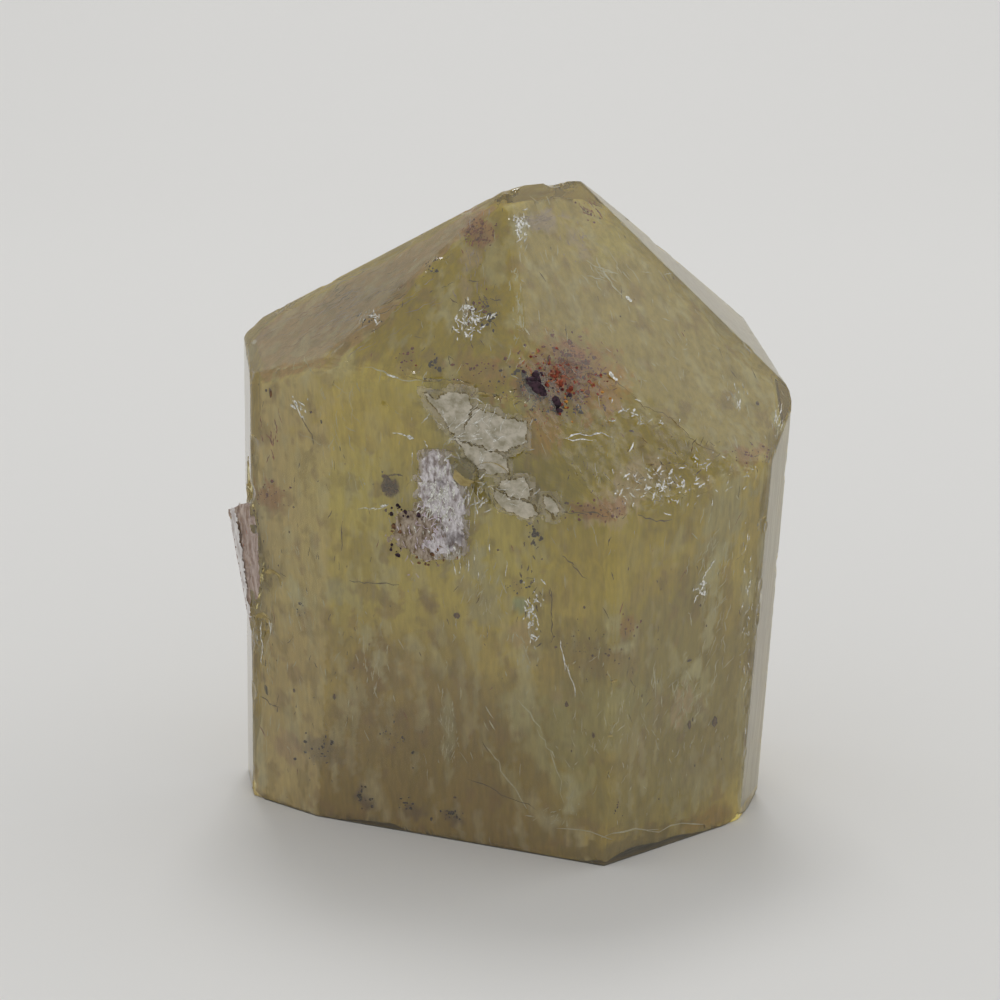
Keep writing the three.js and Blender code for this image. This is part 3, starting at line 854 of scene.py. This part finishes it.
# How many there are around which place in the photo and how far they stray, their length and width in
# the photo, how they lean from upright, and how deep they lie in mm.
hair_fields = [
    {"name": "scar", "at": (482, 430), "stray": (22, 15), "count": 50, "long": 11, "wide": 0.8, "lean": (65, 45), "kind": "bright"},
    {"name": "scar_low", "at": (510, 493), "stray": (14, 9), "count": 24, "long": 8, "wide": 0.8, "lean": (70, 40), "kind": "bright"},
    {"name": "silver", "at": (440, 500), "stray": (11, 19), "count": 120, "long": 7, "wide": 1.5, "lean": (8, 30), "kind": "bright"},
    {"name": "silver_right", "at": (478, 494), "stray": (6, 14), "count": 26, "long": 11, "wide": 1.0, "lean": (25, 20), "kind": "bright"},
    {"name": "silver_low", "at": (462, 562), "stray": (14, 7), "count": 20, "long": 9, "wide": 1.0, "lean": (0, 8), "kind": "bright"},
    {"name": "break", "at": (655, 486), "stray": (20, 10), "count": 75, "long": 5, "wide": 1.7, "lean": (60, 50), "kind": "bright"},
    {"name": "break_top", "at": (640, 418), "stray": (16, 6), "count": 18, "long": 5, "wide": 1.8, "lean": (70, 40), "kind": "bright"},
    {"name": "break_side", "at": (705, 475), "stray": (24, 12), "count": 40, "long": 4, "wide": 1.6, "lean": (60, 60), "kind": "bright"},
    {"name": "heap", "at": (469, 321), "stray": (9, 9), "count": 60, "long": 6, "wide": 1.8, "lean": (40, 80), "kind": "bright"},
    {"name": "slope_tuft", "at": (372, 318), "stray": (7, 4), "count": 14, "long": 5, "wide": 1.4, "lean": (45, 60), "kind": "bright"},
    {"name": "tip", "at": (521, 229), "stray": (5, 7), "count": 30, "long": 6, "wide": 2.0, "lean": (10, 50), "kind": "bright"},
    {"name": "ridge", "at": (519, 300), "stray": (4, 34), "count": 40, "long": 7, "wide": 1.3, "lean": (-6, 30)},
    {"name": "slope_branch", "at": (604, 274), "stray": (9, 9), "count": 16, "long": 14, "wide": 1.3, "lean": (-45, 20)},
    {"name": "slope", "at": (650, 330), "stray": (50, 45), "count": 60, "long": 6, "wide": 0.9, "lean": (-40, 30)},
    {"name": "rim", "at": (739, 400), "stray": (4, 7), "count": 14, "long": 7, "wide": 1.4, "lean": (0, 20), "kind": "bright"},
    {"name": "rim_low", "at": (777, 424), "stray": (3, 8), "count": 12, "long": 8, "wide": 1.4, "lean": (8, 20), "kind": "bright"},
    {"name": "left_glint", "at": (298, 408), "stray": (4, 5), "count": 16, "long": 6, "wide": 2.2, "lean": (-35, 20), "kind": "bright"},
    {"name": "left_edge", "at": (266, 640), "stray": (6, 60), "count": 26, "long": 22, "wide": 0.9, "lean": (0, 4)},
    {"name": "left_high", "at": (340, 425), "stray": (24, 28), "count": 40, "long": 13, "wide": 0.9, "lean": (-14, 24)},
    {"name": "left_smears", "at": (297, 596), "stray": (9, 26), "count": 32, "long": 9, "wide": 1.1, "lean": (-14, 12)},
    {"name": "middle_smears", "at": (373, 650), "stray": (9, 26), "count": 34, "long": 9, "wide": 1.1, "lean": (0, 12)},
    {"name": "column", "at": (447, 735), "stray": (5, 36), "count": 44, "long": 9, "wide": 1.0, "lean": (0, 14)},
    {"name": "rainbow", "at": (532, 612), "stray": (5, 15), "count": 46, "long": 5, "wide": 2.0, "lean": (5, 40), "kind": "bright"},
    {"name": "rainbow_tail", "at": (526, 655), "stray": (4, 12), "count": 16, "long": 6, "wide": 1.4, "lean": (0, 20)},
    {"name": "middle_grey", "at": (487, 600), "stray": (12, 20), "count": 40, "long": 8, "wide": 1.1, "lean": (0, 20)},
    {"name": "right_glint", "at": (700, 588), "stray": (6, 6), "count": 12, "long": 5, "wide": 2.4, "lean": (30, 40), "kind": "bright"},
    {"name": "right_slant", "at": (714, 585), "stray": (9, 36), "count": 70, "long": 12, "wide": 1.1, "lean": (18, 12)},
    {"name": "right_low", "at": (684, 700), "stray": (9, 20), "count": 50, "long": 9, "wide": 1.1, "lean": (18, 20)},
    {"name": "right_rim", "at": (746, 620), "stray": (3, 46), "count": 46, "long": 6, "wide": 1.1, "lean": (8, 14), "kind": "bright"},
    {"name": "pair", "at": (657, 680), "stray": (3, 3), "count": 5, "long": 22, "wide": 1.4, "lean": (2, 2)},
    {"name": "right_foot", "at": (612, 725), "stray": (34, 34), "count": 80, "long": 8, "wide": 0.9, "lean": (5, 20)},
    {"name": "foot_white", "at": (571, 798), "stray": (4, 15), "count": 30, "long": 6, "wide": 1.3, "lean": (0, 25)},
    {"name": "foot_shelf", "at": (546, 817), "stray": (9, 4), "count": 16, "long": 6, "wide": 1.4, "lean": (70, 30)},
    {"name": "silver_lilac", "at": (424, 534), "stray": (15, 14), "count": 70, "long": 4.5, "wide": 1.2, "lean": (10, 40),
     "kind": "lilac", "on_skin": True},
    {"name": "tip_lilac", "at": (542, 219), "stray": (10, 4), "count": 30, "long": 8, "wide": 1.6, "lean": (72, 20),
     "kind": "lilac"},
    {"name": "trail_lilac", "at": (578, 242), "stray": (6, 9), "count": 20, "long": 6, "wide": 1.4, "lean": (-38, 30),
     "kind": "lilac"},
    {"name": "slope_lilac", "at": (470, 268), "stray": (8, 22), "count": 30, "long": 8, "wide": 1.2, "lean": (0, 16),
     "kind": "lilac"},
    {"name": "left_slope", "at": (340, 295), "stray": (40, 22), "count": 120, "long": 20, "wide": 1.1, "lean": (60, 4),
     "kind": "lilac"},
    {"name": "left_slope_red", "at": (300, 325), "stray": (30, 14), "count": 36, "long": 12, "wide": 1.3,
     "lean": (60, 6), "kind": "rust"},
    {"name": "left_red", "at": (271, 438), "stray": (5, 14), "count": 14, "long": 9, "wide": 2.0, "lean": (-4, 12),
     "kind": "rust"},
    {"name": "silver_red", "at": (440, 530), "stray": (8, 10), "count": 26, "long": 4, "wide": 1.1, "lean": (-30, 30),
     "kind": "dark", "on_skin": True},
    {"name": "halo_red", "at": (568, 366), "stray": (20, 14), "count": 150, "long": 3.5, "wide": 1.7, "lean": (30, 70),
     "kind": "rust"},
    {"name": "slope_red", "at": (478, 232), "stray": (8, 8), "count": 60, "long": 4, "wide": 1.7, "lean": (20, 30),
     "kind": "rust"},
    {"name": "tip_red", "at": (592, 212), "stray": (6, 6), "count": 12, "long": 8, "wide": 1.6, "lean": (-40, 20),
     "kind": "rust"},
    {"name": "splinter_red", "at": (240, 560), "stray": (3, 26), "count": 26, "long": 9, "wide": 1.1, "lean": (-8, 6),
     "kind": "rust"},
    {"name": "slope_dark", "at": (335, 291), "stray": (11, 6), "count": 9, "long": 22, "wide": 1.7, "lean": (54, 4),
     "kind": "dark"},
    {"name": "slope_streaks", "at": (350, 285), "stray": (50, 24), "count": 70, "long": 15, "wide": 1.0,
     "lean": (60, 5), "kind": "dark"},
    {"name": "iron_mesh", "at": (566, 376), "stray": (22, 15), "count": 130, "long": 5, "wide": 1.4, "lean": (30, 70),
     "kind": "rust"},
    {"name": "iron_mesh_dark", "at": (548, 386), "stray": (18, 13), "count": 70, "long": 5, "wide": 1.3,
     "lean": (30, 70), "kind": "dark"},
    {"name": "slope_hairs", "at": (430, 330), "stray": (50, 40), "count": 22, "long": 6, "wide": 0.9, "lean": (0, 40),
     "kind": "dark"},
    {"name": "left_hairs", "at": (340, 600), "stray": (50, 110), "count": 46, "long": 6, "wide": 0.9, "lean": (-5, 25),
     "kind": "dark"},
    {"name": "right_hairs", "at": (640, 600), "stray": (60, 80), "count": 34, "long": 6, "wide": 0.9, "lean": (5, 30),
     "kind": "dark"},
    {"name": "break_hairs", "at": (650, 460), "stray": (50, 22), "count": 60, "long": 5, "wide": 1.0, "lean": (50, 60),
     "kind": "dark"},
    {"name": "rainbow_hairs", "at": (535, 590), "stray": (8, 26), "count": 26, "long": 5, "wide": 1.6, "lean": (0, 40),
     "kind": "dark"},
    {"name": "heap_hairs", "at": (482, 310), "stray": (10, 10), "count": 20, "long": 7, "wide": 1.3, "lean": (30, 70),
     "kind": "dark"},
]
# Cracks that stand out one by one: the places in the photo that they run through. The near-white ones laid on the skin
# are painted glints.
single_cracks = [
    {"name": "long_glint", "line": [(567, 438), (580, 434), (590, 436), (601, 433), (611, 437)], "wide": 2.0, "kind": "bright"},
    {"name": "long_glint_low", "line": [(570, 440), (590, 440)], "wide": 1.4, "kind": "bright"},
    {"name": "slope_glint_bright", "line": [(388, 375), (397, 377)], "wide": 2.4, "kind": "bright"},
    {"name": "upper_level_spot", "line": [(407, 436), (413, 438)], "wide": 4, "kind": "bright"},
    {"name": "left_level_spot", "line": [(381, 506), (386, 505)], "wide": 3, "kind": "bright"},
    {"name": "triangle_glint", "line": [(610, 372), (613, 377), (617, 380)], "wide": 5, "kind": "bright"},
    {"name": "slope_glint", "line": [(368, 368), (392, 376), (420, 380)], "wide": 1.6, "kind": "white"},
    {"name": "left_level_glint", "line": [(360, 510), (376, 509), (388, 504)], "wide": 1.3, "kind": "bright"},
    {"name": "upper_level_glint", "line": [(394, 433), (404, 435), (413, 438)], "wide": 1.5, "kind": "bright"},
    {"name": "branch", "line": [(588, 262), (603, 270), (612, 284), (622, 294)], "wide": 2.6, "kind": "white"},
    {"name": "branch_glint", "line": [(626, 297), (631, 301)], "wide": 5, "kind": "bright"},
    {"name": "right_glint", "line": [(700, 584), (706, 583)], "wide": 6, "kind": "bright"},
    {"name": "right_streak", "line": [(703, 578), (708, 569), (714, 560)], "wide": 2, "kind": "bright"},
    {"name": "needle", "line": [(562, 643), (566, 668), (575, 693)], "wide": 1.7, "kind": "bright"},
    {"name": "left_needle", "line": [(262, 625), (263, 645), (262, 663)], "wide": 1.8, "kind": "bright"},
    {"name": "right_blade", "line": [(520, 704), (540, 732), (553, 755), (565, 797)], "wide": 1.8, "kind": "white"},
    {"name": "left_blade", "line": [(488, 748), (500, 765), (525, 803)], "wide": 1.8, "kind": "white"},
    {"name": "foot_ledge", "line": [(562, 829), (607, 836), (653, 831), (700, 824)], "wide": 1.8, "kind": "white"},
    {"name": "right_slope_line", "line": [(652, 238), (700, 292), (745, 347)], "wide": 1.1, "kind": "dark"},
    {"name": "break_edge", "line": [(612, 378), (632, 394), (645, 408), (672, 418), (690, 437), (712, 450)],
     "wide": 0.9, "kind": "dark"},
    {"name": "break_foot", "line": [(552, 493), (562, 511), (585, 513), (605, 517)], "wide": 1.5, "kind": "dark"},
    {"name": "break_foot_right", "line": [(640, 516), (655, 521), (670, 519)], "wide": 1.5, "kind": "dark"},
    {"name": "right_hook", "line": [(563, 557), (573, 565), (585, 577)], "wide": 1.6, "kind": "dark"},
    {"name": "left_tail", "line": [(303, 417), (309, 430), (313, 443)], "wide": 2, "kind": "dark"},
    {"name": "left_upright", "line": [(343, 524), (342, 548)], "wide": 1.5, "kind": "dark"},
    {"name": "left_level", "line": [(352, 580), (372, 583), (396, 584)], "wide": 1.4, "kind": "dark"},
    {"name": "left_dash", "line": [(262, 697), (270, 704), (278, 707)], "wide": 2.2, "kind": "dark"},
    {"name": "round_brown_rim", "line": [(382, 487), (385, 478), (393, 475), (402, 476)], "wide": 2.2, "kind": "dark"},
    {"name": "rainbow_side", "line": [(551, 590), (552, 615), (552, 640)], "wide": 1.3, "kind": "dark"},
    {"name": "heel", "line": [(471, 782), (500, 796), (532, 808)], "wide": 1.3, "kind": "dark"},
]
chance = random.Random(91)
hair_meshes = {kind: bmesh.new() for kind in hair_finishes}
for field in hair_fields:
    for _ in range(field["count"]):
        at = [chance.gauss(middle, stray) for middle, stray in zip(field["at"], field["stray"])]
        length = field["long"] * chance.uniform(0.25, 1.75)
        width = field["wide"] * chance.uniform(0.4, 1.4)
        heading = chance.gauss(*field["lean"])
        kind = field.get("kind", "white")
        # Painted glints and the other marks on the skin lie just over it, so the lamps light them directly; the rest
        # lie below it.
        on_skin = kind == "bright" or field.get("on_skin", False)
        deep = chance.uniform(-0.026, -0.016) if on_skin else chance.uniform(0.05, 0.3)
        stroke(hair_meshes[kind], at, heading, length, width, deep, chance)
for crack in single_cracks:
    for (x0, y0), (x1, y1) in zip(crack["line"], crack["line"][1:]):
        heading = math.degrees(math.atan2(x1 - x0, y0 - y1))
        middle = ((x0 + x1) / 2, (y0 + y1) / 2)
        # Painted glints lie just over the skin, the other cracks just below it.
        stroke(hair_meshes[crack["kind"]], middle, heading, 1.25 * math.hypot(x1 - x0, y1 - y0), crack["wide"],
               -0.02 if crack["kind"] == "bright" else 0.06, chance)


def spot_inside(chance, deepest, shallowest=0.25):
    """A random spot no deeper below the nearest flat than this, in mm, and the way that flat looks."""
    low, high = cad_box
    while True:
        spot = Vector([chance.uniform(low[i], high[i]) for i in range(3)])
        depths = plane_reaches - plane_normals @ np.array(spot)
        if shallowest * MM < depths.min() < deepest * MM:
            return spot, Vector(plane_normals[int(np.argmin(depths))])


# The same hairs go all round the stone.
for kind, count in (("white", 900), ("dark", 170), ("rust", 90)):
    for _ in range(count):
        spot, looks = spot_inside(chance, 0.8, 0.08)
        upright_way = (Vector((0, 0, 1)) - looks * looks.z).normalized()
        turned = Matrix.Rotation(math.radians(chance.gauss(0, 22)), 3, looks) @ upright_way
        length = chance.uniform(0.15, 0.9) * MM
        side = looks.cross(turned)
        bend = chance.uniform(-0.3, 0.3)
        spine = [spot + (turned * part + side * bend * part * part) * length for part in (-0.5, -0.2, 0.1, 0.4)]
        ribbon(hair_meshes[kind], spine, side, chance.uniform(0.03, 0.08) * MM, chance)
for kind, finish in hair_finishes.items():
    inner_piece(kind + "_hairs", hair_meshes[kind], finish, below_skin=False)

# Iron oxide.
# Grains of black and violet haematite sit in the shoulder, in a rusty stain. Small specks of the same are
# scattered through the stone, most of them low down.
def lump(bm, centre, sizes, chance, detail=1):
    """Adds one irregular grain."""
    made = bmesh.ops.create_icosphere(bm, subdivisions=detail, radius=1.0)
    shift = Vector([chance.uniform(-30, 30) for _ in range(3)])
    turn = Matrix.Rotation(chance.uniform(0, 6.28), 3, Vector([chance.uniform(-1, 1) for _ in range(3)]))
    for vertex in made["verts"]:
        swell = 1 + 0.55 * noise.noise(vertex.co * 1.4 + shift) + 0.25 * noise.noise(vertex.co * 3.5 + shift)
        shaped = turn @ (vertex.co * swell)
        vertex.co = centre + Vector((shaped.x * sizes[0], shaped.y * sizes[1], shaped.z * sizes[2]))


grain_finishes = {
    "haematite": make_finish("haematite", (0.075, 0.04, 0.055), (0.012, 0.008, 0.010), 0.3, spot_size=0.2),
    "rust": make_finish("rust_grains", (0.38, 0.085, 0.04), (0.13, 0.022, 0.018), 0.5, spot_size=0.2),
    "ochre": make_finish("ochre_grains", (0.72, 0.34, 0.06), (0.42, 0.16, 0.04), 0.5, spot_size=0.2),
    "brown": make_finish("brown_grains", (0.26, 0.14, 0.07), (0.08, 0.04, 0.025), 0.5, spot_size=0.2),
}
# Around which place in the photo, how far they stray from it there, how many, and their sizes in mm.
grain_fields = [
    {"name": "shoulder", "at": (532, 379), "stray": (5, 5), "count": 9, "size": (0.3, 0.8), "kind": "haematite"},
    {"name": "shoulder_mid", "at": (541, 394), "stray": (4, 4), "count": 6, "size": (0.25, 0.6), "kind": "haematite"},
    {"name": "shoulder_low", "at": (557, 408), "stray": (3, 3), "count": 6, "size": (0.3, 0.7), "kind": "haematite"},
    {"name": "shoulder_specks", "at": (548, 394), "stray": (17, 10), "count": 44, "size": (0.07, 0.26),
     "kind": "haematite"},
    {"name": "shoulder_right", "at": (577, 410), "stray": (3, 2), "count": 4, "size": (0.15, 0.35),
     "kind": "haematite"},
    {"name": "shoulder_left", "at": (514, 376), "stray": (10, 6), "count": 16, "size": (0.08, 0.25),
     "kind": "haematite"},
    {"name": "shoulder_rust", "at": (562, 368), "stray": (18, 13), "count": 150, "size": (0.08, 0.34), "kind": "rust"},
    {"name": "shoulder_rust_low", "at": (566, 392), "stray": (16, 11), "count": 90, "size": (0.08, 0.32),
     "kind": "rust"},
    {"name": "shoulder_ochre", "at": (585, 394), "stray": (22, 12), "count": 60, "size": (0.08, 0.26),
     "kind": "ochre"},
    {"name": "ochre_low", "at": (545, 424), "stray": (14, 8), "count": 24, "size": (0.06, 0.2), "kind": "ochre"},
    {"name": "leaf", "at": (600, 374), "stray": (3, 1.5), "count": 5, "size": (0.15, 0.35), "kind": "rust"},
    {"name": "tuft", "at": (535, 535), "stray": (5, 6), "count": 22, "size": (0.08, 0.3), "kind": "haematite"},
    {"name": "heap", "at": (488, 319), "stray": (4, 5), "count": 9, "size": (0.15, 0.4), "kind": "haematite"},
    {"name": "heap_rust", "at": (480, 303), "stray": (8, 5), "count": 14, "size": (0.08, 0.25), "kind": "rust"},
    {"name": "slope_tuft", "at": (371, 319), "stray": (7, 3), "count": 12, "size": (0.08, 0.25),
     "kind": "haematite"},
    {"name": "slope_tuft_high", "at": (431, 266), "stray": (5, 4), "count": 12, "size": (0.08, 0.25),
     "kind": "haematite"},
    {"name": "slope_dots", "at": (434, 362), "stray": (3, 7), "count": 8, "size": (0.1, 0.3), "kind": "haematite"},
    {"name": "slope_rust", "at": (407, 360), "stray": (6, 7), "count": 14, "size": (0.06, 0.2), "kind": "rust"},
    {"name": "slope_brown", "at": (476, 372), "stray": (16, 10), "count": 40, "size": (0.05, 0.18), "kind": "rust"},
    {"name": "round_brown", "at": (390, 486), "stray": (5, 5), "count": 34, "size": (0.12, 0.35), "kind": "brown"},
    {"name": "silver_dark", "at": (400, 509), "stray": (7, 3), "count": 10, "size": (0.1, 0.28),
     "kind": "haematite", "on_skin": True},
    {"name": "silver_dot", "at": (420, 517), "stray": (3, 4), "count": 6, "size": (0.1, 0.28), "kind": "haematite", "on_skin": True},
    {"name": "silver_red", "at": (397, 528), "stray": (3, 3), "count": 5, "size": (0.12, 0.3), "kind": "brown", "on_skin": True},
    {"name": "silver_foot", "at": (430, 558), "stray": (12, 4), "count": 16, "size": (0.06, 0.22),
     "kind": "brown", "on_skin": True},
    {"name": "silver_edge", "at": (397, 549), "stray": (3, 3), "count": 6, "size": (0.08, 0.24),
     "kind": "haematite", "on_skin": True},
    {"name": "foot_left", "at": (362, 799), "stray": (5, 8), "count": 26, "size": (0.08, 0.28),
     "kind": "haematite"},
    {"name": "foot_mid", "at": (408, 806), "stray": (6, 5), "count": 14, "size": (0.08, 0.26), "kind": "haematite"},
    {"name": "foot_next", "at": (425, 817), "stray": (5, 3), "count": 8, "size": (0.08, 0.22), "kind": "haematite"},
    {"name": "foot_right", "at": (453, 817), "stray": (7, 5), "count": 22, "size": (0.08, 0.26),
     "kind": "haematite"},
    {"name": "low_grey", "at": (318, 748), "stray": (11, 9), "count": 34, "size": (0.06, 0.2), "kind": "haematite"},
    {"name": "low_row", "at": (396, 733), "stray": (11, 7), "count": 20, "size": (0.06, 0.2), "kind": "haematite"},
    {"name": "left_rust", "at": (272, 497), "stray": (8, 8), "count": 30, "size": (0.05, 0.2), "kind": "rust"},
    {"name": "left_dots", "at": (299, 613), "stray": (3, 3), "count": 6, "size": (0.08, 0.25), "kind": "haematite"},
    {"name": "right_rust", "at": (627, 627), "stray": (6, 6), "count": 12, "size": (0.06, 0.22), "kind": "rust"},
    {"name": "right_brown", "at": (590, 656), "stray": (22, 12), "count": 50, "size": (0.04, 0.16),
     "kind": "brown"},
    {"name": "rim_rust", "at": (753, 456), "stray": (11, 5), "count": 26, "size": (0.06, 0.24), "kind": "rust"},
    {"name": "break_rust", "at": (598, 512), "stray": (16, 5), "count": 34, "size": (0.06, 0.2), "kind": "rust"},
    {"name": "right_foot", "at": (617, 807), "stray": (4, 6), "count": 10, "size": (0.05, 0.2),
     "kind": "haematite"},
    {"name": "top_red", "at": (479, 232), "stray": (8, 8), "count": 40, "size": (0.06, 0.22), "kind": "rust"},
    {"name": "tip_red", "at": (590, 210), "stray": (7, 6), "count": 16, "size": (0.06, 0.2), "kind": "rust"},
    {"name": "rainbow_dots", "at": (515, 588), "stray": (8, 4), "count": 12, "size": (0.05, 0.2),
     "kind": "haematite"},
]
chance = random.Random(21)
grain_meshes = {kind: bmesh.new() for kind in grain_finishes}
for field in grain_fields:
    for _ in range(field["count"]):
        at = [chance.gauss(middle, stray) for middle, stray in zip(field["at"], field["stray"])]
        deep = -0.02 if field.get("on_skin") else chance.uniform(0.08, 0.3)
        spot, _ = seen_at(*at, deep * MM)
        if spot is not None:
            half = min(field["size"][1], field["size"][0] + chance.expovariate(4) * field["size"][1]) / 2 * MM
            thick = 0.15 if field.get("on_skin") else 0.4
            sizes = (half * chance.uniform(0.6, 1.3), thick * half, half * chance.uniform(0.6, 1.3))
            lump(grain_meshes[field["kind"]], spot, sizes, chance, detail=2 if half > 0.2 * MM else 1)
brown_count = 520
while brown_count > 0:
    spot, _ = spot_inside(chance, 1.0, 0.1)
    if chance.random() > 1.15 - spot.z / (30 * MM):
        continue
    half = min(0.25, chance.expovariate(1 / 0.045)) * MM
    sizes = (half * chance.uniform(0.5, 1.2), half * chance.uniform(0.5, 1.2), half * chance.uniform(0.6, 1.6))
    lump(grain_meshes["brown"], spot, sizes, chance)
    brown_count -= 1
for kind, finish in grain_finishes.items():
    inner_piece(kind + "_grains", grain_meshes[kind], finish, smooth=True, below_skin=False)

# The table.
# A plain pale sheet that runs back under the stone and curves up behind it.
sheet_mesh = bpy.data.meshes.new("pale_sheet")
bm = bmesh.new()
sheet_half_width = 700 * MM
bend_starts = 260 * MM
bend_radius = 260 * MM
profile = [(-500 * MM, 0.0)]
for i in range(13):
    turn = math.radians(90) * i / 12
    profile.append((bend_starts + bend_radius * math.sin(turn), bend_radius * (1 - math.cos(turn))))
profile.append((bend_starts + bend_radius, 900 * MM))
rows = []
for y, z in profile:
    rows.append([bm.verts.new((x, y, z)) for x in (-sheet_half_width, sheet_half_width)])
for near, far in zip(rows, rows[1:]):
    bm.faces.new((near[0], near[1], far[1], far[0]))
bm.to_mesh(sheet_mesh)
bm.free()
pale_sheet = linked("pale_sheet", sheet_mesh)
for polygon in sheet_mesh.polygons:
    polygon.use_smooth = True
sheet_finish = bpy.data.materials.new("pale_sheet")
sheet_finish.use_nodes = True
shader = sheet_finish.node_tree.nodes["Principled BSDF"]
shader.inputs["Base Color"].default_value = (0.78, 0.775, 0.76, 1)
shader.inputs["Roughness"].default_value = 0.7
shader.inputs["Specular IOR Level"].default_value = 0.2
sheet_mesh.materials.append(sheet_finish)

# The lights.
# A wide soft box hangs over the stone and a little behind it, and the room gives an even pale light.
world = bpy.data.worlds.new("room")
bpy.context.scene.world = world
world.use_nodes = True
world.node_tree.nodes["Background"].inputs["Color"].default_value = (1.0, 1.0, 1.0, 1)
world.node_tree.nodes["Background"].inputs["Strength"].default_value = 0.62


def soft_box(name, at, toward, width, height, watts, colour):
    light = bpy.data.lights.new(name, "AREA")
    light.shape = "RECTANGLE"
    light.size = width
    light.size_y = height
    light.energy = watts
    light.color = colour
    lamp = bpy.data.objects.new(name, light)
    lamp.location = at
    lamp.rotation_euler = (Vector(toward) - Vector(at)).to_track_quat("-Z", "Y").to_euler()
    bpy.context.scene.collection.objects.link(lamp)
    return lamp


soft_box("window", (0.52, 0.02, 0.45), (0, 0, 0.02), 0.5, 0.5, 0.35, (1.0, 1.0, 1.0))
soft_box("ceiling", (-0.02, 0.24, 0.58), (0, 0.02, 0.01), 0.2, 0.2, 0.85, (1.0, 1.0, 1.0))

scene = bpy.context.scene
scene.view_settings.view_transform = "Standard"
scene.cycles.max_bounces = 8
scene.cycles.diffuse_bounces = 4
scene.cycles.transmission_bounces = 8
scene.cycles.transparent_max_bounces = 24
